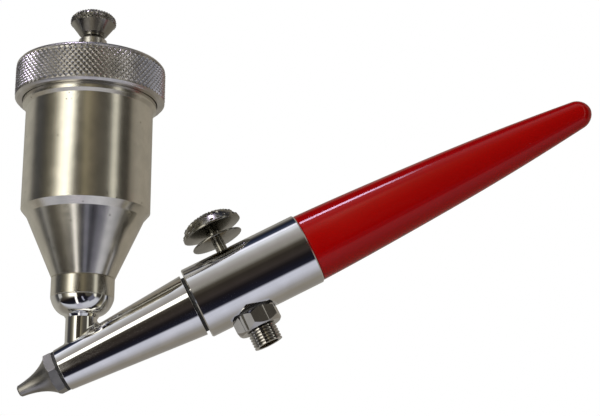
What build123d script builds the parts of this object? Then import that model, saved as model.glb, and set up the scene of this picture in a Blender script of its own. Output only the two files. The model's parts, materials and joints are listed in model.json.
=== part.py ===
"""Air eraser gun: a pen-sized, cup-fed spray gun with a push button, built as separate pieces.

Frame, in millimetres: +X along the barrel towards the handle, so the spray tip points to -X;
+Z up through the push button; the origin is where the button's axis crosses the barrel's axis.
The powder cup stands on the head on an axis of its own, in the XZ plane, leaning back at its top.
"""
from build123d import *
import math
import os

os.makedirs("parts", exist_ok=True)

# ---------------------------------------------------------------- driving dimensions
# Fits, as radial gaps unless the name says otherwise
fixed_fit = 0.02          # pieces screwed or pressed together in one body
running_fit = 0.05        # a shaft that slides or turns in its hole
lid_fit = 0.15            # lid skirt over the cup's mouth
touch_gap = 0.05          # end gap between two pieces that push on each other
apart = 0.40              # end gap between pieces that move past each other

# Barrel
barrel_r = 7.9375         # 5/8 in bar
barrel_ahead = 10.0       # barrel's front face, ahead of the button's axis
barrel_behind = 16.75     # barrel's rear face, behind the button's axis
barrel_chamfer = 0.25

# Head: the long cone ahead of the barrel
head_length = 30.75
head_front_r = 4.6
head_rear_r = 6.96
head_gasket_t = 0.7
head_gasket_inset = 0.66   # inside the head's rear edge
head_spigot_r = 4.8
head_spigot_length = 5.3  # inside the barrel
air_bore_r = 1.9
mixing_bore_r = 2.2

# Spray tip
tip_gasket_t = 0.65
tip_gasket_inset = 0.15   # inside the head's front edge
tip_hex_flats = 8.2
tip_hex_length = 2.0
tip_hex_turn = 0.0        # degrees, as for the valve's
tip_flare_length = 7.5
tip_end_r = 1.25
tip_end_round = 0.3
tip_flare_curve = ((0.35, 1.65), (0.69, 2.5))   # share of the flare's length from its end, radius
tip_front_chamfer = 0.35
tip_rear_chamfer = 0.2
tip_spigot_r = 2.6
tip_spigot_length = 2.6
tip_bore_r = 0.75
insert_wall = 0.35
insert_length = 5.0
insert_setback = 0.1      # behind the nose's end

# Air jet inside the head
jet_nose_length = 4.2
jet_nose_r = 1.0
jet_hole_r = 0.45
jet_setback = 0.9         # nose behind the powder hole's axis
jet_seal_t = 0.8
air_way_r = 1.35          # drilled from the valve's bore to the jet

# Feed stem, brazed into the head, and the bowl on it that the cup screws into
cup_tilt = 26.5           # degrees from +Z, towards +X
cup_setback = 3.95        # where the cup's axis crosses the barrel's, behind the head's front
stem_r = 3.36
stem_top = 9.3            # heights on the cup's axis count from the barrel's axis
feed_hole_r = 1.7
braze_fillet = 0.7
bowl_r = 6.8
bowl_height = 4.3
bowl_floor = 2.3
bowl_foot_lip = 0.12      # bowl's foot beyond the stem
bowl_foot_bevel = (0.35, 0.55)                  # width and height
bowl_curve = ((0.34, 0.79), (0.65, 0.925))      # share of the height, share of the radius
cup_seal_t = 0.5
collar_height = 4.3
collar_edge = 0.2
neck_r = 4.7

# Cup
cup_r = 14.0
cup_wall = 0.9
cup_cone_height = 13.4
cup_shoulder = 1.25       # cone's top inside the wall's radius
cup_chamfer_height = 1.5
cup_straight_height = 23.1
mouth_swell = 0.75        # thicker mouth beyond the wall, its lower end bare below the lid
mouth_foot = 0.6          # height over which the wall swells to the mouth
mouth_bare = 1.4
mouth_height = 6.1        # what of the mouth is inside the lid
throat_r = 3.0
funnel_start = 0.5        # funnel's foot above the cone's foot
orifice_length = 2.9
orifice_hole_r = 1.2
orifice_seat_r = 2.5

# Lid
lid_wall = 1.7
lid_roof_t = 2.2
lid_chamfer = 0.75
lid_gasket_t = 0.5
lid_gasket_wall = 2.6
vent_r = 0.6
vent_offset = 9.0

# Feed spindle through the lid, and its knob
spindle_r = 1.3
needle_length = 1.6
needle_tip_r = 0.5
bush_r = 3.1
bush_height = 4.4         # above the lid
bush_flange_r = 5.2
bush_flange_t = 1.4
bush_shank_r = 2.3
bush_edge = 0.3
packing_t = 1.2
packing_r = 2.2
gland_nut_height = 2.7
gland_nut_r = 3.15
gland_nut_edge = 0.5
gland_nut_foot_edge = 0.2
knob_neck_r = 2.5
knob_neck_height = 0.6
knob_foot_r = 3.1
knob_r = 5.15
knob_cone_height = 2.45
knob_rim_height = 2.1
knob_crown_height = 0.75
knob_top_r = 4.3
knob_grip = 4.6           # how far the spindle reaches into the knob

# Push button
button_rise = 5.1         # cap's rim above the barrel
button_r = 6.67
button_rim_t = 0.3
button_crown_height = 3.1
button_crown_curve = ((0.26, 0.93), (0.68, 0.77), (0.92, 0.5))   # share of the height, share of the radius
button_under_height = 0.9
button_lip = (0.2, 0.1)   # width and height of the bevel under the rim
button_neck_r = 1.8
flange_rise = 2.35        # flange's underside above the barrel
flange_r = 5.73
flange_t = 0.4
flange_hub_r = 1.9
flange_hub_height = 0.3
flange_edge = 0.1
button_stem_r = 1.25
button_stem_low = -0.5    # stem's lower end, on +Z
button_stem_grip = 2.6    # reach of the stem above the cap's rim line

# Stem gland and seal in the barrel's top
gland_r = 2.9
gland_height = 3.2
stem_seal_t = 0.6

# Air valve, screwed into the barrel's underside
valve_hex_flats = 9.5
valve_hex_length = 3.7
valve_hex_turn = 52.0     # degrees from +X to the way that one of its flats faces
valve_low_chamfer = 0.95  # how far the hexagon's corners are turned off below
valve_high_chamfer = 0.7
valve_pocket_depth = 1.0  # flat milled under the barrel for the valve's gasket
valve_pocket_margin = 0.1 # pocket's radius beyond the hexagon's corners
valve_gasket_t = 0.4
valve_spigot_r = 3.9
valve_spigot_length = 3.9
chamber_r = 2.6
valve_bore_r = 2.3
valve_seat_r = 1.5
valve_seat_t = 1.4
inlet_r = 3.175           # 1/4 in thread
inlet_length = 3.5
inlet_pitch = 0.7
inlet_crest = 0.25
inlet_depth = 0.33
inlet_relief = 0.2
plunger_pin_r = 0.9
plunger_head_r = 1.9
plunger_head_t = 1.2
plunger_seal_t = 0.45
spring_length = 5.5
spring_wire_r = 0.2
spring_coil_r = 1.45
spring_turns = 6
retainer_t = 1.2
retainer_hole_r = 1.0

# Handle
handle_length = 70.15
handle_step = 0.3375      # handle's front inside the barrel's radius
handle_mid_r = 5.95
handle_rear_r = 3.15
handle_round = 3.05       # length of the round end
handle_lip = (0.3, 0.5)   # rounding of the front edge: in radius, and along
handle_crown = (0.12, 0.2)   # how far the taper bulges, ahead of its middle and behind it
handle_end_curve = (0.68, 0.72)   # a point on the round end: share of its length, share of its radius
insert_r = 4.6
handle_insert_length = 12.0
stud_r = 3.0
stud_in_barrel = 9.0
stud_in_handle = 10.5
stud_edge = 0.4


# ---------------------------------------------------------------- shapes and places
def turned(corners):
    """Solid turned about +Z from (height, radius) corners joined by straight lines."""
    profile = Polyline(*[(radius, height) for height, radius in corners], close=True)
    return revolve(Plane.XZ * make_face(profile), Axis.Z)


def turned_edges(*lines):
    """Solid turned about +Z from lines drawn with radius across and height up."""
    edges = [edge for line in lines for edge in line.edges()]
    return revolve(Plane.XZ * make_face(edges), Axis.Z)


def tube(low, high, outer, inner=0.0):
    """Straight round bar, or a ring or tube if it has an inner radius, standing on +Z."""
    return turned([(low, inner), (low, outer), (high, outer), (high, inner)])


def hexagon_bar(low, high, flats, turn):
    """Hexagon bar standing on +Z, with its size across flats and the way that one flat faces, from +X."""
    outline = RegularPolygon(flats / 2, 6, major_radius=False, rotation=turn - 30)
    return Pos(0, 0, low) * extrude(outline, high - low)


def on_barrel_axis(solid):
    """Lay a solid from +Z onto the barrel's axis, heights becoming X."""
    return Rotation(0, 90, 0) * solid


def on_cup_axis(solid):
    """Stand a solid from +Z on the cup's leaning axis."""
    return Pos(cup_x, 0, 0) * Rotation(0, cup_tilt, 0) * solid


def save(name, solid):
    """Write one sub-part."""
    export_step(solid, f"parts/{name}.step")


# ---------------------------------------------------------------- stations worked out from the above
head_rear = -barrel_ahead - head_gasket_t
head_front = head_rear - head_length
hex_rear = head_front - tip_gasket_t
hex_front = hex_rear - tip_hex_length
tip_end = hex_front - tip_flare_length
spigot_rear = -barrel_ahead + head_spigot_length
cup_x = head_front + cup_setback

head_gasket_r = head_rear_r - head_gasket_inset
tip_gasket_r = head_front_r - tip_gasket_inset
handle_front_r = barrel_r - handle_step

bowl_top = stem_top + bowl_height
bowl_inside = stem_top + bowl_floor
neck_low = bowl_inside + cup_seal_t
collar_top = bowl_top + collar_height
cone_top = collar_top + cup_cone_height
wall_low = cone_top + cup_chamfer_height
mouth_low = wall_low + cup_straight_height
cup_cone_top_r = cup_r - cup_shoulder
mouth_r = cup_r + mouth_swell
skirt_r = mouth_r + lid_fit
lid_r = skirt_r + lid_wall
lid_low = mouth_low + mouth_bare + apart
mouth_top = mouth_low + mouth_bare + mouth_height
lid_gasket_low = mouth_top + 2 * touch_gap
roof_low = lid_gasket_low + lid_gasket_t
lid_top = roof_low + lid_roof_t
bush_top = lid_top + bush_height
gland_nut_top = bush_top + gland_nut_height
knob_low = gland_nut_top + apart
knob_cone_low = knob_low + knob_neck_height
knob_rim_low = knob_cone_low + knob_cone_height
knob_rim_top = knob_rim_low + knob_rim_height
knob_top = knob_rim_top + knob_crown_height
spindle_low = neck_low + needle_length
spindle_top = knob_low + knob_grip

cap_rim = barrel_r + button_rise
cap_low = cap_rim - button_under_height
cap_top = cap_rim + button_rim_t + button_crown_height
flange_low = barrel_r + flange_rise
flange_top = flange_low + flange_t
gland_top = math.sqrt(barrel_r**2 - gland_r**2)
gland_low = gland_top - gland_height
chamber_top = gland_low - stem_seal_t

pocket_z = -barrel_r + valve_pocket_depth
valve_hex_top = pocket_z - valve_gasket_t
valve_hex_low = valve_hex_top - valve_hex_length
valve_top = valve_hex_top + valve_spigot_length
inlet_top = valve_hex_low - inlet_relief
inlet_low = inlet_top - inlet_length
seat_low = valve_top - valve_seat_t
plunger_seal_top = seat_low - touch_gap
plunger_head_top = plunger_seal_top - plunger_seal_t
plunger_head_low = plunger_head_top - plunger_head_t
spring_top = plunger_head_low - touch_gap
spring_low = spring_top - spring_length
plunger_top = button_stem_low - touch_gap

handle_end = barrel_behind + handle_length


def head_envelope():
    """Outside of the head's cone, on the barrel's axis."""
    return on_barrel_axis(turned([
        (head_front, 0), (head_front, head_front_r), (head_rear, head_rear_r), (head_rear, 0)]))


def feed_hole():
    """Drilled way from the cup down to the mixing bore."""
    return on_cup_axis(tube(0, bowl_top, feed_hole_r))


# ---------------------------------------------------------------- head and spray tip
def make_spray_tip():
    """Hexagon nut and flared nose turned in one, with a spigot that screws into the head."""
    root_r = tip_hex_flats / 2 - running_fit
    flare = turned_edges(
        Polyline((0, tip_end), (tip_end_r - tip_end_round, tip_end), (tip_end_r, tip_end + tip_end_round)),
        Spline((tip_end_r, tip_end + tip_end_round),
               *[(radius, tip_end + share * tip_flare_length) for share, radius in tip_flare_curve],
               (root_r, hex_front)),
        Polyline((root_r, hex_front), (0, hex_front), (0, tip_end)))
    nut = hexagon_bar(hex_front, hex_rear, tip_hex_flats, tip_hex_turn)
    corner_r = tip_hex_flats / 2 * 2 / math.sqrt(3)
    nut &= turned([
        (hex_front, 0), (hex_front, tip_hex_flats / 2), (hex_front + tip_front_chamfer, corner_r),
        (hex_rear - tip_rear_chamfer, corner_r), (hex_rear, corner_r - tip_rear_chamfer), (hex_rear, 0)])
    spigot = tube(hex_rear, hex_rear + tip_gasket_t + tip_spigot_length, tip_spigot_r)
    tip = flare + nut + spigot
    tip -= tube(tip_end, tip_end + insert_length, tip_bore_r + fixed_fit)
    tip -= tube(tip_end, hex_rear + tip_gasket_t + tip_spigot_length, tip_bore_r)
    return on_barrel_axis(tip)


def make_tip_insert():
    """Hard sleeve in the nose that the grit passes through."""
    return on_barrel_axis(tube(
        tip_end + insert_setback, tip_end + insert_length, tip_bore_r, tip_bore_r - insert_wall))


def make_head_cone():
    """Long tapered head: spigot into the barrel, air bore, mixing bore and the drilled feed way."""
    head = head_envelope()
    head += on_barrel_axis(tube(head_rear, spigot_rear, head_spigot_r))
    head -= on_barrel_axis(tube(head_front, spigot_rear, air_bore_r))
    head -= on_barrel_axis(tube(head_front, cup_x + jet_setback + jet_nose_length, mixing_bore_r))
    head -= on_barrel_axis(tube(head_front, head_front + tip_spigot_length + apart, tip_spigot_r + fixed_fit))
    head -= feed_hole()
    return head


def make_air_jet():
    """Air nozzle that fills the head's bore and blows past the foot of the feed hole."""
    nose = cup_x + jet_setback
    bar_r = air_bore_r - fixed_fit
    return on_barrel_axis(turned([
        (nose, jet_hole_r), (nose, jet_nose_r), (nose + jet_nose_length, bar_r),
        (spigot_rear, bar_r), (spigot_rear, jet_hole_r)]))


def make_jet_seal():
    """Ring that seals the jet and the head's spigot in the barrel's front bore."""
    return on_barrel_axis(tube(spigot_rear, spigot_rear + jet_seal_t, head_spigot_r, air_way_r))


# ---------------------------------------------------------------- feed stem and bowl
def stem_envelope():
    """Outside of the stem, run on down to the barrel's axis."""
    return on_cup_axis(tube(0, stem_top, stem_r))


def make_feed_stem():
    """Tube from the head up to the bowl, cut to the head's cone, with the braze in the corner at its foot."""
    both = head_envelope() + stem_envelope()
    foot = [edge for edge in both.edges()
            if edge.geom_type not in (GeomType.CIRCLE, GeomType.LINE)]
    return both.fillet(braze_fillet, foot) - head_envelope() - feed_hole()


def make_cup_socket():
    """Bowl on top of the stem, bored for the cup's neck."""
    foot_r = stem_r + bowl_foot_lip
    bevel = (foot_r + bowl_foot_bevel[0], stem_top + bowl_foot_bevel[1])
    bowl = turned_edges(
        Polyline((0, stem_top), (foot_r, stem_top), bevel),
        Spline(bevel, *[(part * bowl_r, stem_top + share * bowl_height) for share, part in bowl_curve],
               (bowl_r, bowl_top)),
        Polyline((bowl_r, bowl_top), (0, bowl_top), (0, stem_top)))
    bowl -= tube(bowl_inside, bowl_top, neck_r + fixed_fit)
    return on_cup_axis(bowl) - feed_hole()


# ---------------------------------------------------------------- cup
def make_cup():
    """Powder cup: threaded neck, cone, straight wall and thicker mouth, hollow to a wall's thickness."""
    inner_r = cup_r - cup_wall
    return on_cup_axis(turned([
        (neck_low, throat_r), (neck_low, neck_r), (collar_top, neck_r), (collar_top, bowl_r),
        (cone_top, cup_cone_top_r), (wall_low, cup_r), (mouth_low, cup_r),
        (mouth_low + mouth_foot, mouth_r), (mouth_top, mouth_r), (mouth_top, inner_r),
        (wall_low + cup_wall / 2, inner_r), (cone_top + cup_wall / 2, cup_cone_top_r - cup_wall),
        (collar_top + funnel_start, throat_r)]))


def make_cup_collar():
    """Lock ring on the cup's neck, between bowl and cup."""
    bore_r = neck_r + fixed_fit
    return on_cup_axis(turned([
        (bowl_top, bore_r), (bowl_top, bowl_r - collar_edge), (bowl_top + collar_edge, bowl_r),
        (collar_top - collar_edge, bowl_r), (collar_top, bowl_r - collar_edge), (collar_top, bore_r)]))


def make_feed_orifice():
    """Metering plug in the cup's throat, with a seat for the spindle's needle."""
    top = neck_low + orifice_length
    return on_cup_axis(turned([
        (neck_low, orifice_hole_r), (neck_low, throat_r), (top, throat_r),
        (top, orifice_seat_r), (top - orifice_seat_r + orifice_hole_r, orifice_hole_r)]))


# ---------------------------------------------------------------- lid, spindle and knob
def make_lid():
    """Deep lid over the cup's mouth, with a bored roof for the bush and a small vent."""
    lid = turned([
        (lid_low, skirt_r), (lid_low, lid_r - lid_chamfer), (lid_low + lid_chamfer, lid_r),
        (lid_top - lid_chamfer, lid_r), (lid_top, lid_r - lid_chamfer), (lid_top, bush_shank_r + fixed_fit),
        (roof_low, bush_shank_r + fixed_fit), (roof_low, skirt_r)])
    lid -= Pos(-vent_offset, 0, 0) * tube(roof_low, lid_top, vent_r)
    return on_cup_axis(lid)


def make_lid_gasket():
    """Flat ring under the lid's roof that closes on the cup's mouth."""
    return on_cup_axis(tube(lid_gasket_low, roof_low, skirt_r, skirt_r - lid_gasket_wall))


def make_lid_bush():
    """Flanged bush in the lid that guides the spindle and holds its packing."""
    return on_cup_axis(turned([
        (roof_low, spindle_r + running_fit), (roof_low, bush_shank_r), (lid_top, bush_shank_r),
        (lid_top, bush_flange_r), (lid_top + bush_flange_t - bush_edge, bush_flange_r),
        (lid_top + bush_flange_t, bush_flange_r - bush_edge), (lid_top + bush_flange_t, bush_r),
        (bush_top, bush_r), (bush_top, packing_r), (bush_top - packing_t, packing_r),
        (bush_top - packing_t, spindle_r + running_fit)]))


def make_spindle_packing():
    """Packing ring round the spindle, in the bush's counterbore."""
    return on_cup_axis(tube(bush_top - packing_t, bush_top, packing_r, spindle_r + running_fit))


def make_gland_nut():
    """Small round nut that presses the packing down."""
    bore_r = spindle_r + running_fit
    return on_cup_axis(turned([
        (bush_top, bore_r), (bush_top, gland_nut_r - gland_nut_foot_edge),
        (bush_top + gland_nut_foot_edge, gland_nut_r),
        (gland_nut_top - gland_nut_edge, gland_nut_r), (gland_nut_top, gland_nut_r - gland_nut_edge),
        (gland_nut_top, bore_r)]))


def make_spindle_rod():
    """Long rod from the knob down to a blunt needle over the feed orifice."""
    return on_cup_axis(turned([
        (spindle_low, 0), (spindle_low, needle_tip_r), (spindle_low + needle_length, spindle_r),
        (spindle_top, spindle_r), (spindle_top, 0)]))


def make_spindle_knob():
    """Mushroom knob with a gripping rim."""
    bore_r = spindle_r + running_fit
    return on_cup_axis(turned([
        (knob_low, bore_r), (knob_low, knob_neck_r), (knob_cone_low, knob_neck_r),
        (knob_cone_low, knob_foot_r), (knob_rim_low, knob_r), (knob_rim_top, knob_r),
        (knob_top, knob_top_r), (knob_top, 0), (spindle_top + touch_gap, 0),
        (spindle_top + touch_gap, bore_r)]))


# ---------------------------------------------------------------- barrel and push button
def make_barrel():
    """Plain round barrel: front bore, cross bore for button and valve, rear hole for the stud."""
    edge = barrel_chamfer
    barrel = on_barrel_axis(turned([
        (-barrel_ahead, 0), (-barrel_ahead, barrel_r - edge), (-barrel_ahead + edge, barrel_r),
        (barrel_behind - edge, barrel_r), (barrel_behind, barrel_r - edge), (barrel_behind, 0)]))
    barrel -= on_barrel_axis(tube(-barrel_ahead, spigot_rear + jet_seal_t, head_spigot_r + fixed_fit))
    barrel -= on_barrel_axis(tube(spigot_rear, 0, air_way_r))
    barrel -= on_barrel_axis(tube(barrel_behind - stud_in_barrel, barrel_behind, stud_r + fixed_fit))
    barrel -= tube(valve_top, chamber_top, chamber_r)
    barrel -= tube(chamber_top, barrel_r, gland_r + fixed_fit)
    barrel -= tube(-barrel_r, valve_top, valve_spigot_r + fixed_fit)
    barrel -= tube(-barrel_r, pocket_z, valve_hex_flats / math.sqrt(3) + valve_pocket_margin)
    return barrel


def make_stem_gland():
    """Bush in the barrel's top that guides the button's stem."""
    return tube(gland_low, gland_top, gland_r, button_stem_r + running_fit)


def make_stem_seal():
    """Seal ring under the gland."""
    return tube(chamber_top, gland_low, gland_r, button_stem_r + running_fit)


def make_button_cap():
    """Domed cap with a thin rim, a conical underside and a short neck."""
    under = Polyline(
        (0, flange_top), (button_neck_r, flange_top), (button_neck_r, cap_low),
        (button_r - button_lip[0], cap_rim - button_lip[1]), (button_r, cap_rim),
        (button_r, cap_rim + button_rim_t))
    crown_low = cap_rim + button_rim_t
    crown = Spline(
        (button_r, crown_low),
        *[(part * button_r, crown_low + share * button_crown_height) for share, part in button_crown_curve],
        (0, cap_top))
    cap = turned_edges(under, crown, Line((0, cap_top), (0, flange_top)))
    return cap - tube(flange_top, cap_rim + button_stem_grip, button_stem_r + fixed_fit)


def make_button_flange():
    """Thin guard disc under the cap."""
    bore_r = button_stem_r + fixed_fit
    return turned([
        (flange_low - flange_hub_height, bore_r), (flange_low - flange_hub_height, flange_hub_r),
        (flange_low, flange_r - flange_edge), (flange_low + flange_edge, flange_r),
        (flange_top - flange_edge, flange_r), (flange_top, flange_r - flange_edge), (flange_top, bore_r)])


def make_button_stem():
    """Stem from the cap down through the gland to the valve's plunger."""
    return tube(button_stem_low, cap_rim + button_stem_grip, button_stem_r)


# ---------------------------------------------------------------- air valve
def make_valve_body():
    """Valve cartridge: spigot, hexagon and the threaded air inlet, bored from below to its seat."""
    spigot = tube(valve_hex_top, valve_top, valve_spigot_r)
    corner_r = valve_hex_flats / math.sqrt(3)
    nut = hexagon_bar(valve_hex_low, valve_hex_top, valve_hex_flats, valve_hex_turn)
    nut &= turned([
        (valve_hex_low, 0), (valve_hex_low, corner_r - valve_low_chamfer),
        (valve_hex_low + valve_low_chamfer, corner_r), (valve_hex_top - valve_high_chamfer, corner_r),
        (valve_hex_top, corner_r - valve_high_chamfer), (valve_hex_top, 0)])
    body = spigot + nut + make_inlet_thread()
    body -= tube(inlet_low, seat_low, valve_bore_r)
    body -= tube(seat_low, valve_top, valve_seat_r)
    return body


def make_inlet_thread():
    """Inlet shank with the crests of its thread, from one end of the thread to the other."""
    root_r = inlet_r - inlet_depth
    flank = (inlet_pitch - inlet_crest) / 2
    crests = int(round((inlet_length - inlet_crest) / inlet_pitch)) + 1
    step = (inlet_length - inlet_crest) / (crests - 1)
    corners = [(valve_hex_low, 0), (valve_hex_low, root_r)]
    for crest in range(crests):
        high = inlet_top - crest * step
        corners += [(high, inlet_r), (high - inlet_crest, inlet_r)]
        if crest < crests - 1:
            corners.append((high - inlet_crest - (step - inlet_crest) / 2, root_r))
    corners += [(inlet_low, 0)]
    return turned(corners)


def make_valve_gasket():
    """Washer between the valve's hexagon and the flat under the barrel."""
    return tube(valve_hex_top, pocket_z, valve_hex_flats / 2, valve_spigot_r + fixed_fit)


def make_valve_plunger():
    """Pin and head that the button's stem pushes off the seat."""
    return turned([
        (plunger_head_low, 0), (plunger_head_low, plunger_head_r), (plunger_head_top, plunger_head_r),
        (plunger_head_top, plunger_pin_r), (plunger_top, plunger_pin_r), (plunger_top, 0)])


def make_plunger_seal():
    """Soft ring on the plunger's head that closes the seat."""
    return tube(plunger_head_top, plunger_seal_top, plunger_head_r, plunger_pin_r + fixed_fit)


def make_valve_spring():
    """Return spring under the plunger."""
    wound = spring_length - 2 * spring_wire_r
    path = Helix(wound / spring_turns, wound, spring_coil_r, center=(0, 0, spring_low + spring_wire_r))
    wire = Plane(path @ 0, z_dir=path % 0) * Circle(spring_wire_r)
    return sweep(wire, path)


def make_valve_retainer():
    """Drilled screw ring that holds the spring up."""
    return tube(spring_low - retainer_t, spring_low, valve_bore_r - fixed_fit, retainer_hole_r)


# ---------------------------------------------------------------- handle
def make_handle():
    """Long moulded handle, tapering to a round end and bored for its insert."""
    round_start = handle_end - handle_round
    middle = barrel_behind + handle_length / 2
    lip_r = handle_front_r - handle_lip[0]
    lip_end = barrel_behind + handle_lip[1]
    front_middle = (barrel_behind + middle) / 2
    rear_middle = (middle + round_start) / 2
    lip = Spline((lip_r, barrel_behind), (handle_front_r, lip_end), tangents=((0.6, 1), (-0.01, 1)))
    side = Spline(
        (handle_front_r, lip_end),
        ((handle_front_r + handle_mid_r) / 2 + handle_crown[0], front_middle),
        (handle_mid_r, middle),
        ((handle_mid_r + handle_rear_r) / 2 + handle_crown[1], rear_middle),
        (handle_rear_r, round_start))
    end_point = (
        handle_end_curve[1] * handle_rear_r, round_start + handle_end_curve[0] * handle_round)
    end = Spline(
        (handle_rear_r, round_start), end_point, (0, handle_end), tangents=((-0.12, 1), (-1, 0)))
    closing = Polyline((0, handle_end), (0, barrel_behind), (lip_r, barrel_behind))
    body = turned_edges(lip, side, end, closing)
    body -= tube(barrel_behind, barrel_behind + handle_insert_length, insert_r + fixed_fit)
    return on_barrel_axis(body)


def make_handle_insert():
    """Metal bush moulded into the handle, threaded for the stud."""
    return on_barrel_axis(tube(
        barrel_behind, barrel_behind + handle_insert_length, insert_r, stud_r + fixed_fit))


def make_handle_stud():
    """Stud that joins barrel and handle."""
    front = barrel_behind - stud_in_barrel + stud_edge
    rear = barrel_behind + stud_in_handle
    return on_barrel_axis(turned([
        (front, 0), (front, stud_r - stud_edge), (front + stud_edge, stud_r),
        (rear - stud_edge, stud_r), (rear, stud_r - stud_edge), (rear, 0)]))


# ---------------------------------------------------------------- write every piece
save("spray_tip", make_spray_tip())
save("tip_insert", make_tip_insert())
save("tip_gasket", on_barrel_axis(tube(hex_rear, head_front, tip_gasket_r, tip_spigot_r + fixed_fit)))
save("head_cone", make_head_cone())
save("air_jet", make_air_jet())
save("jet_seal", make_jet_seal())
save("head_gasket", on_barrel_axis(
    tube(head_rear, -barrel_ahead, head_gasket_r, head_spigot_r + fixed_fit)))
save("feed_stem", make_feed_stem())
save("cup_socket", make_cup_socket())
save("cup_seal", on_cup_axis(tube(bowl_inside, neck_low, neck_r, throat_r)))
save("cup_collar", make_cup_collar())
save("cup", make_cup())
save("feed_orifice", make_feed_orifice())
save("lid", make_lid())
save("lid_gasket", make_lid_gasket())
save("lid_bush", make_lid_bush())
save("spindle_packing", make_spindle_packing())
save("gland_nut", make_gland_nut())
save("spindle_rod", make_spindle_rod())
save("spindle_knob", make_spindle_knob())
save("barrel", make_barrel())
save("stem_gland", make_stem_gland())
save("stem_seal", make_stem_seal())
save("button_cap", make_button_cap())
save("button_flange", make_button_flange())
save("button_stem", make_button_stem())
save("valve_body", make_valve_body())
save("valve_gasket", make_valve_gasket())
save("valve_plunger", make_valve_plunger())
save("plunger_seal", make_plunger_seal())
save("valve_spring", make_valve_spring())
save("valve_retainer", make_valve_retainer())
save("handle", make_handle())
save("handle_insert", make_handle_insert())
save("handle_stud", make_handle_stud())
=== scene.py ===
"""Looks of the airbrush gun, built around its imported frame.

Metres. +X runs along the barrel to the handle, +Z up through the push button, and the cup leans
in the XZ plane. Turned pieces are turned again here, finer and with eased corners, from the
outlines of the frame's own pieces, and the knurls are grown on them. Pieces with flats or side
holes are copied from the frame and get exact normals.
"""
import json
import math

import bmesh
import bpy
import numpy as np
from mathutils import Matrix, Vector


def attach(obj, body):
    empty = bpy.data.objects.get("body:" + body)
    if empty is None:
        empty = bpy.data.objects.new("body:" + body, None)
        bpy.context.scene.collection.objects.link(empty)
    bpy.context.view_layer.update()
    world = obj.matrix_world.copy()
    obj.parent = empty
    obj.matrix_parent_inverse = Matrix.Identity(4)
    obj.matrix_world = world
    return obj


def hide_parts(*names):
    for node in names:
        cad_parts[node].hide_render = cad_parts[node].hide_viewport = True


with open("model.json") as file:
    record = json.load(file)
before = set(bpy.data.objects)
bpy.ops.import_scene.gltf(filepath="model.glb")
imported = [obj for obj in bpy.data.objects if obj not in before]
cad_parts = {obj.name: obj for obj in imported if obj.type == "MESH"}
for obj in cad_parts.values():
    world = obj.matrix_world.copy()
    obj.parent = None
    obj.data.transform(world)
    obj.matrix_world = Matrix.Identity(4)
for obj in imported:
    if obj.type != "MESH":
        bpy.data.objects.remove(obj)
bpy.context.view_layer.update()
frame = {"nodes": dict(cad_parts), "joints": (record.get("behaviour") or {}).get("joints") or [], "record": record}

MM = 0.001

# Turning pieces again
SEGMENTS = 144                      # facets round a turned piece
SAME_CORNER = 0.004 * MM            # corners of an outline closer than this are one
ON_AXIS = 1e-7                      # a smaller radius is on the axis
EASE = 0.06 * MM                    # radius that a turned corner is eased to
FINE_EASE = 0.03 * MM
EASED_TURN = math.radians(14)       # a smaller turn of the outline keeps its point
WIDE_TURN = math.radians(35)        # a larger turn gets one more step
FOLDED_TURN = math.radians(170)     # the outline runs back on itself
EASED_SHARE = 0.42                  # most of an outline's run that one corner may take

# Copies of milled pieces
MERGE_GAP = 0.0015 * MM
MILLED_SMOOTH = math.radians(24)    # normals closer than this are blended
DRILLED_SMOOTH = math.radians(50)
DRILL_SEGMENTS = 40
OUT_OF_ROUND = math.radians(7)      # a facet that faces further aside wasn't turned
LEAST_SIDEWAYS = 0.05               # a facet that faces less to the side is an end face

# ---------------------------------------------------------------- the gun's three axes
joints = {joint["name"]: joint for joint in frame["joints"]}
cup_direction = Vector(joints["lid_lift"]["axis"])
cup_foot = Vector(joints["knob_turn"]["pos_m"])

BUTTON_AXIS = Matrix.Identity(4)
BARREL_AXIS = Matrix.Rotation(math.pi / 2, 4, "Y")
cup_lean = Vector((0, 0, 1)).rotation_difference(cup_direction)
CUP_AXIS = Matrix.Translation(cup_foot) @ cup_lean.to_matrix().to_4x4()


def reach(node, place):
    """Lowest height, highest height and largest radius of a CAD node on one of the gun's axes."""
    back = place.inverted()
    points = [back @ vertex.co for vertex in frame["nodes"][node].data.vertices]
    heights = [point.z for point in points]
    return min(heights), max(heights), max(math.hypot(point.x, point.y) for point in points)


# ---------------------------------------------------------------- node helpers
class Tree:
    """Short hand for making and joining nodes."""

    def __init__(self, tree):
        self.tree = tree

    def add(self, kind, inputs=(), **settings):
        node = self.tree.nodes.new(kind)
        for name, value in settings.items():
            setattr(node, name, value)
        for key, value in dict(inputs).items():
            self.feed(node.inputs[key], value)
        return node

    def feed(self, socket, value):
        if isinstance(value, bpy.types.NodeSocket):
            self.tree.links.new(value, socket)
        else:
            socket.default_value = value

    def math(self, operation, first, second=0.0, third=0.0):
        node = self.add("ShaderNodeMath", {0: first, 1: second, 2: third}, operation=operation)
        return node.outputs[0]

    def dot(self, vector, direction):
        node = self.add("ShaderNodeVectorMath", {0: vector, 1: direction}, operation="DOT_PRODUCT")
        return node.outputs["Value"]

    def fade(self, value, start, end, low=0.0, high=1.0):
        """Smooth change from low to high as the value goes from start to end."""
        node = self.add("ShaderNodeMapRange", {
            "Value": value, "From Min": start, "From Max": end, "To Min": low, "To Max": high},
            interpolation_type="SMOOTHSTEP")
        return node.outputs["Result"]

    def mix(self, factor, first, second):
        node = self.add("ShaderNodeMix", data_type="RGBA")
        for key, value in ((0, factor), (6, first), (7, second)):
            self.feed(node.inputs[key], value)
        return node.outputs[2]


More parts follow.
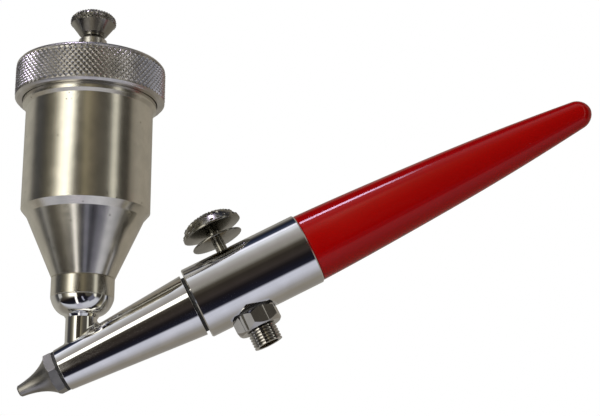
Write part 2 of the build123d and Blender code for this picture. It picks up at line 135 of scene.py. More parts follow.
# ---------------------------------------------------------------- materials
def surface(name, base, metallic, roughness, **shader):
    """New material, its node tree and its shader, whose constants are set."""
    material = bpy.data.materials.new(name)
    material.use_nodes = True
    tree = Tree(material.node_tree)
    principled = material.node_tree.nodes["Principled BSDF"]
    principled.inputs["Base Color"].default_value = (*base, 1)
    principled.inputs["Metallic"].default_value = metallic
    principled.inputs["Roughness"].default_value = roughness
    for key, value in shader.items():
        principled.inputs[key.replace("_", " ")].default_value = value
    return material, tree, principled


def along(tree, place):
    """Object coordinates turned so that Z runs along one of the gun's axes."""
    turn = place.inverted()
    coordinates = tree.add("ShaderNodeTexCoord").outputs["Object"]
    mapping = tree.add("ShaderNodeMapping", {
        "Vector": coordinates, "Location": turn.to_translation(), "Rotation": turn.to_euler()})
    return mapping.outputs["Vector"]


def noise(tree, vector, scale, detail, stretch=(1, 1, 1)):
    """Noise at a number of swirls to the metre."""
    scaled = tree.add("ShaderNodeMapping", {"Vector": vector, "Scale": stretch}).outputs["Vector"]
    return tree.add("ShaderNodeTexNoise", {"Vector": scaled, "Scale": scale, "Detail": detail}).outputs["Fac"]


def bump(tree, height, strength, distance, normal=None):
    """Normal of a bump as deep as the distance, laid over another normal if there is one."""
    inputs = {"Height": height, "Strength": strength, "Distance": distance}
    if normal is not None:
        inputs["Normal"] = normal
    return tree.add("ShaderNodeBump", inputs).outputs["Normal"]


CLOUD_SCALE, WEAR_SCALE, RING_SCALE, PIT_SCALE = 260, 1900, 900, 420.0
RING_STRETCH = (0.02, 0.02, 14)      # draws the noise out into rings round the piece
RING_ROUGHNESS = 0.12                # how much of the rings' strength goes into the shine
RING_DEPTH = 0.012 * MM
WEAR_DEPTH = 0.004 * MM
WEAR_STRENGTH = 0.08
PIT_COLOUR = (0.10, 0.09, 0.06, 1)


def plated(name, place, base, dim, roughness, spread, lines=0.0, pits=0.0, grain=0.0):
    """Plated metal: cloudy shine, fine lathe lines round its axis, and a few pits."""
    material, tree, shader = surface(name, base, 1.0, roughness)
    vector = along(tree, place)
    cloud = noise(tree, vector, CLOUD_SCALE, 4)
    wear = noise(tree, vector, WEAR_SCALE, 2)
    rings = noise(tree, vector, RING_SCALE, 3, RING_STRETCH)
    shade = tree.mix(tree.fade(cloud, 0.35, 0.7), (*dim, 1), (*base, 1))
    if pits:
        spots = tree.add("ShaderNodeTexVoronoi", {"Vector": vector, "Scale": PIT_SCALE})
        pit = tree.fade(spots.outputs["Distance"], 0.03, 0.10, pits, 0.0)
        shade = tree.mix(pit, shade, PIT_COLOUR)
    tree.feed(shader.inputs["Base Color"], shade)
    rough = tree.math("MULTIPLY_ADD", cloud, spread, roughness - spread / 2)
    if lines:
        rough = tree.math("MULTIPLY_ADD", rings, lines * RING_ROUGHNESS, rough)
    tree.feed(shader.inputs["Roughness"], rough)
    normal = bump(tree, wear, WEAR_STRENGTH + grain, WEAR_DEPTH)
    if lines:
        normal = bump(tree, rings, lines, RING_DEPTH, normal)
    tree.feed(shader.inputs["Normal"], normal)
    return material


RED, RED_DIM, RED_BRIGHT = (0.20, 0.0004, 0.0004), (0.185, 0.0003, 0.0003, 1), (0.215, 0.0005, 0.0005, 1)
RED_RIPPLE = 0.05 * MM


def moulded_red():
    """Glossy deep red plastic with a faint moulding ripple and a little dust in its gloss."""
    material, tree, shader = surface("moulded_red", RED, 0.0, 0.06, IOR=1.30)
    vector = along(tree, BARREL_AXIS)
    swirl = noise(tree, vector, 55, 3, (1, 1, 0.25))
    dust = noise(tree, vector, 2600, 2)
    tree.feed(shader.inputs["Base Color"], tree.mix(tree.fade(swirl, 0.3, 0.7), RED_DIM, RED_BRIGHT))
    tree.feed(shader.inputs["Roughness"], tree.fade(dust, 0.45, 0.8, 0.05, 0.16))
    tree.feed(shader.inputs["Normal"], bump(tree, swirl, 0.10, RED_RIPPLE))
    return material


def soft_rubber():
    """Matt black rubber with a fine grain."""
    material, tree, shader = surface("soft_rubber", (0.012, 0.012, 0.013), 0.0, 0.55)
    grain = noise(tree, along(tree, BARREL_AXIS), 1500, 4)
    tree.feed(shader.inputs["Base Color"], tree.mix(
        tree.fade(grain, 0.3, 0.7), (0.008, 0.008, 0.009, 1), (0.03, 0.03, 0.03, 1)))
    tree.feed(shader.inputs["Roughness"], tree.fade(grain, 0.2, 0.8, 0.45, 0.7))
    tree.feed(shader.inputs["Normal"], bump(tree, grain, 0.3, 0.02 * MM))
    return material


# Plated and bare metals: axis, colour, dim colour, roughness, its spread, and how strong the
# lathe lines, the pits and the grain are
METALS = {
    "barrel_chrome": (BARREL_AXIS, (0.86, 0.86, 0.88), (0.80, 0.80, 0.81), 0.045, 0.03, 0.0, 0.0, 0.04),
    "head_chrome": (BARREL_AXIS, (0.86, 0.85, 0.86), (0.78, 0.78, 0.79), 0.06, 0.05, 0.03, 0.0, 0.10),
    "bowl_chrome": (CUP_AXIS, (0.84, 0.83, 0.81), (0.74, 0.74, 0.73), 0.06, 0.04, 0.03, 0.0, 0.08),
    "cup_nickel": (CUP_AXIS, (0.80, 0.77, 0.70), (0.70, 0.68, 0.62), 0.20, 0.06, 0.35, 0.8, 0.05),
    "lid_nickel": (CUP_AXIS, (0.74, 0.72, 0.70), (0.60, 0.585, 0.565), 0.30, 0.10, 0.15, 0.0, 0.30),
    "knob_nickel": (CUP_AXIS, (0.42, 0.41, 0.38), (0.30, 0.29, 0.27), 0.20, 0.10, 0.15, 0.0, 0.20),
    "button_nickel": (BUTTON_AXIS, (0.38, 0.37, 0.34), (0.27, 0.265, 0.24), 0.20, 0.10, 0.12, 0.0, 0.20),
    "valve_chrome": (BUTTON_AXIS, (0.60, 0.59, 0.58), (0.50, 0.49, 0.48), 0.10, 0.06, 0.06, 0.0, 0.08),
    "bare_steel": (BARREL_AXIS, (0.42, 0.41, 0.39), (0.33, 0.32, 0.31), 0.34, 0.10, 0.30, 0.0, 0.30),
    "turned_brass": (BARREL_AXIS, (0.78, 0.58, 0.26), (0.66, 0.48, 0.20), 0.25, 0.10, 0.25, 0.0, 0.10),
    "hard_metal": (BARREL_AXIS, (0.25, 0.25, 0.26), (0.20, 0.20, 0.21), 0.30, 0.10, 0.20, 0.0, 0.10),
}
finishes = {name: plated(name, *look) for name, look in METALS.items()}
finishes["moulded_red"] = moulded_red()
finishes["soft_rubber"] = soft_rubber()

# Finish of every CAD node; nodes built again below keep theirs
NODE_FINISH = {
    "barrel_chrome": ("barrel",),
    "head_chrome": ("head_cone",),
    "bowl_chrome": ("feed_stem", "cup_socket"),
    "cup_nickel": ("cup", "cup_collar"),
    "lid_nickel": ("lid", "lid_bush", "gland_nut"),
    "knob_nickel": ("spindle_knob", "spindle_rod"),
    "button_nickel": ("button_cap", "button_flange", "button_stem"),
    "valve_chrome": ("valve_body",),
    "bare_steel": ("spray_tip", "valve_plunger", "valve_spring", "handle_stud"),
    "turned_brass": ("air_jet", "feed_orifice", "stem_gland", "valve_retainer", "handle_insert"),
    "hard_metal": ("tip_insert",),
    "moulded_red": ("handle",),
    "soft_rubber": ("tip_gasket", "head_gasket", "jet_seal", "cup_seal", "lid_gasket", "stem_seal",
                    "plunger_seal", "spindle_packing", "valve_gasket"),
}
finish_of = {node: finish for finish, nodes in NODE_FINISH.items() for node in nodes}
body_of = {node: body for body, nodes in frame["record"]["behaviour"]["bodies"].items() for node in nodes}

for node, cad_object in frame["nodes"].items():
    cad_object.data.materials.clear()
    cad_object.data.materials.append(finishes[finish_of[node]])


# ---------------------------------------------------------------- turned outlines
def outline(node, place):
    """Corners (height, radius) of a turned CAD node in order round its section, bottom to top outside."""
    back = place.inverted()
    corners, names = [], []
    for vertex in frame["nodes"][node].data.vertices:
        point = back @ vertex.co
        corner = (point.z, math.hypot(point.x, point.y))
        for index, known in enumerate(corners):
            if abs(known[0] - corner[0]) < SAME_CORNER and abs(known[1] - corner[1]) < SAME_CORNER:
                names.append(index)
                break
        else:
            names.append(len(corners))
            corners.append(corner)
    links = {index: set() for index in range(len(corners))}
    for edge in frame["nodes"][node].data.edges:
        first, second = (names[vertex] for vertex in edge.vertices)
        if first != second:
            links[first].add(second)
            links[second].add(first)
    ends = [index for index in links if len(links[index]) == 1]
    walk = [ends[0] if ends else 0]
    while True:
        ahead = [index for index in links[walk[-1]] if index not in walk]
        if not ahead:
            break
        walk.append(ahead[0])
    section = [corners[index] for index in walk]
    if ends:
        section = [(section[0][0], 0.0)] + section + [(section[-1][0], 0.0)]
        section = [corner for index, corner in enumerate(section)
                   if index == 0 or corner != section[index - 1]]
    area = sum(a[1] * b[0] - b[1] * a[0] for a, b in zip(section, section[1:] + section[:1]))
    return section if area > 0 else section[::-1]


def eased(section, ease, closed):
    """The section with its corners rounded, as (height, radius, normal height, normal radius)."""
    count = len(section)
    rounded = []
    for index, (height, radius) in enumerate(section):
        before = section[index - 1] if closed or index > 0 else None
        after = section[(index + 1) % count] if closed or index < count - 1 else None
        here = Vector((height, radius))
        into = (here - Vector(before)) if before else None
        out = (Vector(after) - here) if after else None
        if into is None or out is None:
            run = (out or into).normalized()
            rounded.append((height, radius, -run.y, run.x))
            continue
        room = min(into.length, out.length) * EASED_SHARE
        into_n, out_n = into.normalized(), out.normalized()
        turn = math.acos(max(-1.0, min(1.0, into_n.dot(out_n))))
        if turn < EASED_TURN:
            run = (into_n + out_n).normalized()
            rounded.append((height, radius, -run.y, run.x))
            continue
        setback = min(room, ease * math.tan(turn / 2)) if turn < FOLDED_TURN else room
        steps = 3 if turn > WIDE_TURN else 2
        start, end = here - into_n * setback, here + out_n * setback
        for step in range(steps + 1):
            part = step / steps
            point = start.lerp(here, part).lerp(here.lerp(end, part), part)
            run = into_n.lerp(out_n, part).normalized()
            rounded.append((point.x, max(point.y, 0.0), -run.y, run.x))
    return rounded


def mesh_object(name, vertices, faces, normals=None):
    """Smooth mesh in an object of its own at the origin."""
    mesh = bpy.data.meshes.new(name)
    mesh.from_pydata(vertices, [], faces)
    mesh.validate()
    mesh.update()
    for polygon in mesh.polygons:
        polygon.use_smooth = True
    if normals:
        mesh.normals_split_custom_set_from_vertices(normals)
    made = bpy.data.objects.new(name, mesh)
    bpy.context.collection.objects.link(made)
    return made


def turned(name, section, place, ease=EASE, closed=True):
    """Turned solid with exact normals. A section that starts and ends on the axis isn't closed."""
    ring = eased(section, ease, closed)
    vertices, normals, rows = [], [], []
    turn = place.to_3x3()
    for height, radius, normal_height, normal_radius in ring:
        on_axis = radius < ON_AXIS
        side = 0.0 if on_axis else normal_radius
        row = []
        for step in range(1 if on_axis else SEGMENTS):
            angle = 2 * math.pi * step / SEGMENTS
            row.append(len(vertices))
            vertices.append(place @ Vector((radius * math.cos(angle), radius * math.sin(angle), height)))
            normal = Vector((side * math.cos(angle), side * math.sin(angle), normal_height))
            normals.append((turn @ normal).normalized())
        rows.append(row)
    faces = []
    pairs = list(zip(rows, rows[1:])) + ([(rows[-1], rows[0])] if closed else [])
    for low, high in pairs:
        for step in range(SEGMENTS):
            ahead = (step + 1) % SEGMENTS
            if len(low) == 1 and len(high) == 1:
                break
            if len(low) == 1:
                faces.append((low[0], high[ahead], high[step]))
            elif len(high) == 1:
                faces.append((low[step], low[ahead], high[0]))
            else:
                faces.append((low[step], low[ahead], high[ahead], high[step]))
    return mesh_object(name, vertices, faces, normals)


def stands_for(made, node):
    """Give a piece its node's finish and body, and hide the node."""
    if not made.data.materials:
        made.data.materials.append(finishes[finish_of[node]])
    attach(made, body_of[node])
    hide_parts(node)


def turn_again(node, place, ease=EASE):
    """Turn a CAD node's own outline again, finer and with eased corners."""
    section = outline(node, place)
    closed = section[0][1] > ON_AXIS
    return turned(node + "_turned", section, place, ease, closed)


# ---------------------------------------------------------------- copies of milled pieces
def milled_copy(node, places):
    """Copy of a CAD node whose corner normals are worked out from the axes that it was turned on."""
    mesh = frame["nodes"][node].data.copy()
    work = bmesh.new()
    work.from_mesh(mesh)
    bmesh.ops.remove_doubles(work, verts=work.verts, dist=MERGE_GAP)
    work.to_mesh(mesh)
    work.free()
    exact_normals(mesh, places, MILLED_SMOOTH)
    made = bpy.data.objects.new(node + "_milled", mesh)
    bpy.context.collection.objects.link(made)
    return made


def exact_normals(mesh, places, smooth_angle):
    """Corner normals that point straight out from the axis that each face was turned on.

    Around a vertex, those that are closer than the smooth angle are blended.
    """
    inverse = [(place.inverted(), place.to_3x3()) for place in places]
    corner_normals = [None] * len(mesh.loops)
    for polygon in mesh.polygons:
        polygon.use_smooth = True
        flat = polygon.normal.copy()
        for corner in polygon.loop_indices:
            vertex = mesh.vertices[mesh.loops[corner].vertex_index].co
            corner_normals[corner] = flat
            for back, turn in inverse:
                exact = turned_normal(back @ vertex, back.to_3x3() @ flat)
                if exact:
                    corner_normals[corner] = (turn @ exact).normalized()
                    break
    around = {}
    for corner, loop in enumerate(mesh.loops):
        around.setdefault(loop.vertex_index, []).append(corner)
    blended = list(corner_normals)
    for corners in around.values():
        for corner in corners:
            near = [corner_normals[other] for other in corners
                    if corner_normals[other].angle(corner_normals[corner], 0.0) < smooth_angle]
            blended[corner] = sum(near, Vector()).normalized()
    mesh.normals_split_custom_set(blended)


def turned_normal(point, facing):
    """Exact normal at a point of a facet if the facet was turned about Z, else None."""
    radial = Vector((point.x, point.y, 0))
    sideways = Vector((facing.x, facing.y, 0))
    if radial.length < ON_AXIS or sideways.length < LEAST_SIDEWAYS:
        return None
    radial.normalize()
    if abs(radial.dot(sideways.normalized())) < math.cos(OUT_OF_ROUND):
        return None
    sign = 1 if radial.dot(sideways) > 0 else -1
    return radial * sign * sideways.length + Vector((0, 0, facing.z))


# ---------------------------------------------------------------- what repeats: the knurls
DOME_REACH = 0.985    # square of how far out on its dome a foot row stands, as a share of its radius


def knurl_tree():
    """Rows of four-sided teeth round an axis, each row half a tooth on, over a band or a dome."""
    group = bpy.data.node_groups.new("knurl", "GeometryNodeTree")
    face = group.interface
    face.new_socket("Geometry", in_out="OUTPUT", socket_type="NodeSocketGeometry")
    for name, kind in (("Around", "Int"), ("Rows", "Int"), ("Low", "Float"), ("High", "Float"),
                       ("Foot Radius", "Float"), ("Top Radius", "Float"), ("Dome Height", "Float"),
                       ("Tooth Depth", "Float"), ("Tooth Width", "Float"), ("Tooth Height", "Float"),
                       ("Crest", "Float"), ("Material", "Material")):
        face.new_socket(name, in_out="INPUT", socket_type="NodeSocket" + kind)
    tree = Tree(group)
    given = tree.add("NodeGroupInput").outputs
    count = tree.math("MULTIPLY", given["Around"], given["Rows"])
    line = tree.add("GeometryNodeMeshLine", {"Count": count})
    index = tree.add("GeometryNodeInputIndex").outputs["Index"]
    row = tree.math("FLOOR", tree.math("DIVIDE", tree.math("ADD", index, 0.5), given["Around"]))
    place = tree.math("SUBTRACT", index, tree.math("MULTIPLY", row, given["Around"]))
    shift = tree.math("MULTIPLY", tree.math("MODULO", row, 2.0), 0.5)
    share_round = tree.math("DIVIDE", tree.math("ADD", place, shift), given["Around"])
    angle = tree.math("MULTIPLY", share_round, math.tau)
    part = tree.math("DIVIDE", row, tree.math("MAXIMUM", tree.math("SUBTRACT", given["Rows"], 1.0), 1.0))
    climb = tree.math("MULTIPLY", tree.math("SUBTRACT", given["High"], given["Low"]), part)
    straight = tree.math("ADD", given["Low"], climb)
    narrowing = tree.math(
        "MULTIPLY", tree.math("SUBTRACT", given["Top Radius"], given["Foot Radius"]), part)
    radius = tree.math("ADD", given["Foot Radius"], narrowing)
    share = tree.math("DIVIDE", radius, given["Foot Radius"])
    fall = tree.math("SQRT", tree.math("MAXIMUM", tree.math(
        "SUBTRACT", 1.0, tree.math("MULTIPLY", share, tree.math("MULTIPLY", share, DOME_REACH))), 0.0))
    height = tree.math("ADD", straight, tree.math("MULTIPLY", given["Dome Height"], fall))
    lean = tree.math("ARCTAN2", tree.math("MULTIPLY", given["Foot Radius"], fall),
                     tree.math("MULTIPLY", given["Dome Height"], share))
    domed = tree.math("GREATER_THAN", given["Dome Height"], 0.0)
    tilt = tree.math("MULTIPLY", tree.math("MULTIPLY", lean, domed), -1.0)
    across = tree.math("MULTIPLY", radius, tree.math("COSINE", angle))
    beside = tree.math("MULTIPLY", radius, tree.math("SINE", angle))
    spot = tree.add("ShaderNodeCombineXYZ", {0: across, 1: beside, 2: height})
    placed = tree.add("GeometryNodeSetPosition", {
        "Geometry": line.outputs["Mesh"], "Position": spot.outputs[0]})
    tooth = tree.add("GeometryNodeMeshCone", {
        "Vertices": 4, "Radius Top": given["Crest"], "Radius Bottom": 1.0, "Depth": given["Tooth Depth"]})
    lay = tree.add("GeometryNodeTransform", {
        "Geometry": tooth.outputs["Mesh"], "Rotation": (0, math.pi / 2, 0)})
    size = tree.add("ShaderNodeCombineXYZ", {0: 1.0, 1: given["Tooth Width"], 2: given["Tooth Height"]})
    cut = tree.add("GeometryNodeTransform", {
        "Geometry": lay.outputs["Geometry"], "Scale": size.outputs[0]})
    narrow = tree.add("ShaderNodeCombineXYZ", {0: 1.0, 1: share, 2: 1.0})
    turn = tree.add("ShaderNodeCombineXYZ", {0: 0.0, 1: tilt, 2: angle})
    teeth = tree.add("GeometryNodeInstanceOnPoints", {
        "Points": placed.outputs["Geometry"], "Instance": cut.outputs["Geometry"],
        "Rotation": turn.outputs[0], "Scale": narrow.outputs[0]})
    real = tree.add("GeometryNodeRealizeInstances", {"Geometry": teeth.outputs["Instances"]})
    painted = tree.add("GeometryNodeSetMaterial", {
        "Geometry": real.outputs["Geometry"], "Material": given["Material"]})
    tree.add("NodeGroupOutput", {"Geometry": painted.outputs["Geometry"]})
    return group


def grown(name, group, place, **inputs):
    """Plain mesh grown by a Geometry Nodes tree with the given inputs, put on its axis."""
    seed = bpy.data.objects.new(name + "_seed", bpy.data.meshes.new(name + "_seed"))
    bpy.context.collection.objects.link(seed)
    modifier = seed.modifiers.new("grow", "NODES")
    modifier.node_group = group
    sockets = {item.name: item.identifier for item in group.interface.items_tree if item.in_out == "INPUT"}
    for key, value in inputs.items():
        modifier[sockets[key.replace("_", " ")]] = value
    bpy.context.view_layer.update()
    graph = bpy.context.evaluated_depsgraph_get()
    mesh = bpy.data.meshes.new_from_object(seed.evaluated_get(graph))
    seed.modifiers.remove(modifier)
    bpy.data.objects.remove(seed)
    mesh.transform(place)
    for polygon in mesh.polygons:
        polygon.use_smooth = False
    made = bpy.data.objects.new(name, mesh)
    bpy.context.collection.objects.link(made)
    return made


KNURL = knurl_tree()


# ---------------------------------------------------------------- head and handle
HEAD_FRONT = 4.6 * MM         # radii
HEAD_REAR = 6.96 * MM
HEAD_SPIGOT = 4.8 * MM
HEAD_BORE = 2.62 * MM
AIR_BORE = 1.9 * MM
HEAD_GASKET = 0.7 * MM        # lengths
HEAD_COUNTERBORE = 3.0 * MM
HEAD_EASE = 0.12 * MM

# Handle's taper: share of its length from the front, radius in mm
HANDLE_TAPER = (
    (0.0, 7.6), (0.126, 7.31), (0.253, 6.9), (0.5, 5.95), (0.728, 4.75), (0.957, 3.15), (1.0, 2.82))
HANDLE_TAPER_STEPS = 90
HANDLE_ROUND = 3.05 * MM      # length of the rounded end
HANDLE_ROUND_STEPS = 16
HANDLE_CHAMFER = 0.25 * MM
HANDLE_EASE = 0.1 * MM
INSERT_GAP = 0.02 * MM


def head():
    """Tapered head with a softened front rim and its spigot in the barrel."""
    front, rear, _ = reach("head_cone", BARREL_AXIS)
    barrel_front = reach("barrel", BARREL_AXIS)[0]
    cone_rear = barrel_front - HEAD_GASKET
    section = [(front, HEAD_BORE), (front, HEAD_FRONT), (cone_rear, HEAD_REAR), (cone_rear, HEAD_SPIGOT),
               (rear, HEAD_SPIGOT), (rear, AIR_BORE), (front + HEAD_COUNTERBORE, AIR_BORE),
               (front + HEAD_COUNTERBORE, HEAD_BORE)]
    return turned("head_turned", section, BARREL_AXIS, HEAD_EASE)


def smooth_through(points, steps):
    """Natural cubic spline through (place, radius) points, as that many points evenly along it."""
    places, radii = (np.array(values) for values in zip(*points))
    gaps = np.diff(places)
    matrix, right = np.eye(len(places)), np.zeros(len(places))
    for inner in range(1, len(places) - 1):
        matrix[inner, inner - 1:inner + 2] = gaps[inner - 1], 2 * (gaps[inner - 1] + gaps[inner]), gaps[inner]
        right[inner] = 6 * ((radii[inner + 1] - radii[inner]) / gaps[inner]
                            - (radii[inner] - radii[inner - 1]) / gaps[inner - 1])
    bend = np.linalg.solve(matrix, right)
    line = []
    for place in np.linspace(places[0], places[-1], steps):
        span = min(int(np.searchsorted(places, place, side="right")) - 1, len(gaps) - 1)
        ahead, behind, gap = places[span + 1] - place, place - places[span], gaps[span]
        line.append((place, (bend[span] * ahead**3 + bend[span + 1] * behind**3) / (6 * gap)
                     + (radii[span] / gap - bend[span] * gap / 6) * ahead
                     + (radii[span + 1] / gap - bend[span + 1] * gap / 6) * behind))
    return line


def handle():
    """Long smooth taper that rounds off at its end, bored in front for its insert."""
    front, rear, _ = reach("handle", BARREL_AXIS)
    _, insert_rear, insert_radius = reach("handle_insert", BARREL_AXIS)
    length = rear - front
    taper = smooth_through(
        [(front + share * length, radius * MM) for share, radius in HANDLE_TAPER], HANDLE_TAPER_STEPS)
    side = [(place, radius) for place, radius in taper if place < rear - HANDLE_ROUND]
    last_place, last_radius = side[-1]
    end_radius = taper[-1][1]
    for step in range(HANDLE_ROUND_STEPS):
        rounding = math.sin(math.pi / 2 * step / HANDLE_ROUND_STEPS)
        place = rear - HANDLE_ROUND * (1 - rounding)
        radius = last_radius + (end_radius - last_radius) * (place - last_place) / (rear - last_place)
        side.append((place, radius * math.sqrt(1 - rounding**2)))
    bore = insert_radius + INSERT_GAP
    section = [(insert_rear, 0.0), (insert_rear, bore), (front, bore), (front, side[0][1] - HANDLE_CHAMFER),
               (front + HANDLE_CHAMFER, side[0][1])] + side[1:] + [(rear, 0.0)]
    return turned("handle_turned", section, BARREL_AXIS, HANDLE_EASE, closed=False)


for node in ("cup_socket", "cup_collar", "cup", "lid_bush", "gland_nut", "spindle_rod", "lid_gasket"):
    stands_for(turn_again(node, CUP_AXIS), node)
for node in ("tip_gasket", "head_gasket"):
    stands_for(turn_again(node, BARREL_AXIS), node)
for node in ("button_flange", "button_stem"):
    stands_for(turn_again(node, BUTTON_AXIS, FINE_EASE), node)
stands_for(milled_copy("barrel", (BARREL_AXIS, BUTTON_AXIS)), "barrel")
stands_for(milled_copy("spray_tip", (BARREL_AXIS,)), "spray_tip")
stands_for(milled_copy("feed_stem", (CUP_AXIS,)), "feed_stem")
stands_for(milled_copy("valve_body", (BUTTON_AXIS,)), "valve_body")
stands_for(head(), "head_cone")
stands_for(handle(), "handle")


# ---------------------------------------------------------------- lid, knob and button, with their knurls
LID_BEVEL = 0.55 * MM
LID_BEVEL_SINK = 0.05 * MM            # how far the lower bevel's top is inside the lid's radius
LID_RIM_SINK = 0.1 * MM               # and the upper one's
LID_BAND_STEP = 0.2 * MM              # from a bevel to the knurled band's core
LID_BAND_GAP = 0.1 * MM
LID_BORE = 2.32 * MM
LID_KNURL_DEPTH = 0.44 * MM
LID_TEETH = 84
LID_ROWS = 10
VENT_RADIUS = 0.6 * MM
VENT_OFFSET = 9.0 * MM

KNOB_NECK = (2.5 * MM, 0.6 * MM)      # radius, height
KNOB_FOOT = 3.1 * MM
KNOB_CONE_TOP = 3.05 * MM             # heights above the knob's foot
KNOB_CROWN = 4.1 * MM
KNOB_CROWN_STEPS = 12
KNOB_EASE = 0.1 * MM
KNOB_ROD_GAP = 0.05 * MM
KNOB_BAND_OVERLAP = 0.1 * MM          # the band's teeth run on past the rim's edges
KNOB_KNURL_DEPTH = 0.24 * MM
KNOB_TEETH = 36
KNOB_BAND_ROWS = 3
KNOB_CROWN_ROWS = 6
KNOB_CROWN_ENDS = 0.97, 0.35          # first and last row's radius, as shares of the core's
KNOB_CROWN_SINK = 0.02 * MM
KNOB_CROWN_TOOTH = 0.45 * MM

BUTTON_EASE = 0.04 * MM
BUTTON_DOME = 3.05 * MM
BUTTON_DOME_SINK = 0.06 * MM
BUTTON_TEETH = 26
BUTTON_ROWS = 6
BUTTON_TOOTH_DEPTH = 0.40 * MM
BUTTON_TOOTH_HEIGHT = 0.62 * MM
BUTTON_ENDS = 0.93, 0.30              # first and last row's radius, as shares of the cap's

BAND_CREST, CROWN_CREST, BUTTON_CREST = 0.16, 0.2, 0.3    # width of a tooth's flat crest, as a share


def diamond_band(name, node, place, low, high, radius, around, rows, depth):
    """Straight band of diamond knurl between two heights, its crests at the radius."""
    row = (high - low) / (rows + 1)
    return grown(name, KNURL, place, Around=around, Rows=rows, Low=low + row, High=high - row,
                 Foot_Radius=radius - depth, Top_Radius=radius - depth, Dome_Height=0.0, Tooth_Depth=depth,
                 Tooth_Width=math.pi * radius / around, Tooth_Height=row, Crest=BAND_CREST,
                 Material=finishes[finish_of[node]])


def lid():
    """Deep lid with a pale bevel below, a knurled side, a bored roof and a small vent."""
    low, high, radius = reach("lid", CUP_AXIS)
    _, roof, skirt = reach("lid_gasket", CUP_AXIS)
    core = radius - LID_KNURL_DEPTH
    band_low, band_high = low + LID_BEVEL, high - LID_BEVEL
    section = [(low, skirt), (low, radius - LID_BEVEL), (band_low, radius - LID_BEVEL_SINK),
               (band_low + LID_BAND_STEP, core), (band_high - LID_BAND_STEP, core),
               (band_high, radius - LID_RIM_SINK), (high, radius - LID_BEVEL), (high, LID_BORE),
               (roof, LID_BORE), (roof, skirt)]
    made = turned("lid_turned", section, CUP_AXIS)
    vent = CUP_AXIS @ Matrix.Translation((-VENT_OFFSET, 0, (roof + high) / 2))
    drilled(made, vent, VENT_RADIUS, high - roof)
    teeth = diamond_band("lid_knurl", "lid", CUP_AXIS, band_low + LID_BAND_GAP, band_high - LID_BAND_GAP,
                         radius, LID_TEETH, LID_ROWS, LID_KNURL_DEPTH)
    return made, teeth


def drilled(made, place, radius, length):
    """Cut a round hole right through a piece of the lid and give it its exact normals again."""
    drill = bpy.data.objects.new("drill", bpy.data.meshes.new("drill"))
    bpy.context.collection.objects.link(drill)
    work = bmesh.new()
    bmesh.ops.create_cone(work, cap_ends=True, segments=DRILL_SEGMENTS,
                          radius1=radius, radius2=radius, depth=2 * length)
    bmesh.ops.transform(work, matrix=place, verts=work.verts)
    work.to_mesh(drill.data)
    work.free()
    cut = made.modifiers.new("drill", "BOOLEAN")
    cut.operation, cut.solver, cut.object = "DIFFERENCE", "EXACT", drill
    bpy.context.view_layer.update()
    mesh = bpy.data.meshes.new_from_object(made.evaluated_get(bpy.context.evaluated_depsgraph_get()))
    made.modifiers.remove(cut)
    made.data = mesh
    bpy.data.objects.remove(drill)
    exact_normals(mesh, (CUP_AXIS,), DRILLED_SMOOTH)


def knob():
    """Mushroom knob: short neck, plain cone below, knurled rim and crown."""
    low, high, radius = reach("spindle_knob", CUP_AXIS)
    core = radius - KNOB_KNURL_DEPTH
    _, rod_top, rod = (measure + KNOB_ROD_GAP for measure in reach("spindle_rod", CUP_AXIS))
    crown, dome = low + KNOB_CROWN, high - low - KNOB_CROWN
    neck, neck_top = KNOB_NECK[0], low + KNOB_NECK[1]
    section = [(rod_top, 0.0), (rod_top, rod), (low, rod), (low, neck), (neck_top, neck),
               (neck_top, KNOB_FOOT), (low + KNOB_CONE_TOP, core)]
    for step in range(KNOB_CROWN_STEPS + 1):
        turn = math.pi / 2 * step / KNOB_CROWN_STEPS
        section.append((crown + dome * math.sin(turn), core * math.cos(turn)))
    section[-1] = (high, 0.0)
    made = turned("knob_turned", section, CUP_AXIS, KNOB_EASE, closed=False)
    band = diamond_band("knob_knurl", "spindle_knob", CUP_AXIS, low + KNOB_CONE_TOP - KNOB_BAND_OVERLAP,
                        crown + KNOB_BAND_OVERLAP, radius, KNOB_TEETH, KNOB_BAND_ROWS, KNOB_KNURL_DEPTH)
    foot, top_row = (core * share for share in KNOB_CROWN_ENDS)
    top = grown("knob_crown_knurl", KNURL, CUP_AXIS, Around=KNOB_TEETH, Rows=KNOB_CROWN_ROWS,
                Low=crown, High=crown, Foot_Radius=foot, Top_Radius=top_row,
                Dome_Height=dome - KNOB_CROWN_SINK, Tooth_Depth=KNOB_KNURL_DEPTH,
                Tooth_Width=math.pi * core / KNOB_TEETH, Tooth_Height=KNOB_CROWN_TOOTH,
                Crest=CROWN_CREST, Material=finishes[finish_of["spindle_knob"]])
    return made, band, top


def button():
    """Domed cap with coarse teeth all over but its middle."""
    _, high, radius = reach("button_cap", BUTTON_AXIS)
    made = turn_again("button_cap", BUTTON_AXIS, BUTTON_EASE)
    dome_foot = high - BUTTON_DOME - BUTTON_DOME_SINK
    foot, top_row = (radius * share for share in BUTTON_ENDS)
    teeth = grown("button_teeth", KNURL, BUTTON_AXIS, Around=BUTTON_TEETH, Rows=BUTTON_ROWS,
                  Low=dome_foot, High=dome_foot, Foot_Radius=foot, Top_Radius=top_row,
                  Dome_Height=BUTTON_DOME, Tooth_Depth=BUTTON_TOOTH_DEPTH,
                  Tooth_Width=math.pi * foot / BUTTON_TEETH, Tooth_Height=BUTTON_TOOTH_HEIGHT,
                  Crest=BUTTON_CREST, Material=finishes[finish_of["button_cap"]])
    return made, teeth


for node, (body, *knurls) in (("lid", lid()), ("spindle_knob", knob()), ("button_cap", button())):
    stands_for(body, node)
    for teeth in knurls:
        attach(teeth, body_of[node])


